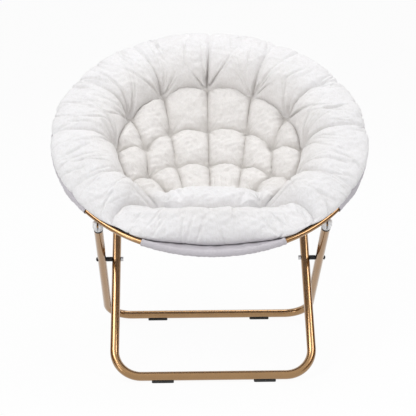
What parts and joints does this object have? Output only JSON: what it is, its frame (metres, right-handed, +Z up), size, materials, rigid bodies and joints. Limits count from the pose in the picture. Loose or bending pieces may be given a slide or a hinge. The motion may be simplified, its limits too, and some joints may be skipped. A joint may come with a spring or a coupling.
{
  "type": "folding saucer chair",
  "caption": "Folding saucer chair: tufted dish cushion and fabric sling on a round tube hoop, carried by crossed tube leg frames.",
  "frame": {"origin": "middle of the bounding box at floor level, under the feet", "axes": "+Z up, the sitter faces -Y, +X to the right seen from the front"},
  "size_m": [0.8159, 0.6987, 0.7712],
  "materials": {
    "gold_tube": "satin copper-gold lacquer",
    "white_nylon": "satin moulded",
    "black_nylon": "matte moulded",
    "black_rubber": "matte",
    "black_tape": "woven tape",
    "dark_bolt": "black oxide",
    "steel": "zinc plated",
    "sling_fabric": "plain woven polyester",
    "pile_fabric": "short plush pile over polyester filling"
  },
  "bodies": {
    "front_legs": {"front_leg_frame": "gold_tube", "front_leg_cap_left": "white_nylon", "front_leg_cap_right": "white_nylon", "front_leg_collar_left": "black_nylon", "front_leg_collar_right": "black_nylon", "front_leg_rivets_left": "steel", "front_leg_rivets_right": "steel", "scissor_bolt_left": "dark_bolt", "scissor_bolt_right": "dark_bolt", "scissor_nut_left": "steel", "scissor_nut_right": "steel", "scissor_spacer_left": "black_nylon", "scissor_spacer_right": "black_nylon", "front_foot_left": "black_rubber", "front_foot_right": "black_rubber"},
    "rear_legs": {"rear_leg_frame": "gold_tube", "rear_leg_cap_left": "white_nylon", "rear_leg_cap_right": "white_nylon", "rear_leg_collar_left": "black_nylon", "rear_leg_collar_right": "black_nylon", "rear_leg_rivet_left": "steel", "rear_leg_rivet_right": "steel", "rear_foot_left": "black_rubber", "rear_foot_right": "black_rubber"},
    "seat_front": {"hoop_front_arc": "gold_tube", "sling_binding_left": "black_tape", "sling_binding_right": "black_tape"},
    "seat_rear": {"hoop_rear_arc": "gold_tube", "sling": "sling_fabric", "cushion": "pile_fabric", "hoop_hinge_rivet_left": "steel", "hoop_hinge_rivet_right": "steel"}
  },
  "joints": [
    {"name": "leg_scissor", "type": "hinge", "parent": "front_legs", "child": "rear_legs", "pos_m": [0, -0.12079, 0.2435], "axis": [1, 0, 0], "range_deg": [-56.26, 0]},
    {"name": "front_mount_pivot", "type": "hinge", "parent": "rear_legs", "child": "seat_front", "pos_m": [0, -0.23256, 0.36254], "axis": [1, 0, 0], "range_deg": [-76.97, 0]},
    {"name": "hoop_hinge", "type": "hinge", "parent": "seat_front", "child": "seat_rear", "pos_m": [0, -0.16742, 0.42754], "axis": [1, 0, 0], "range_deg": [0, 150.05], "deforming": ["sling", "cushion"]}
  ],
  "couplings": [
    {"joint": "front_mount_pivot", "follows": "leg_scissor", "ratio": 1.3673},
    {"joint": "hoop_hinge", "follows": "leg_scissor", "ratio": -2.6662}
  ]
}
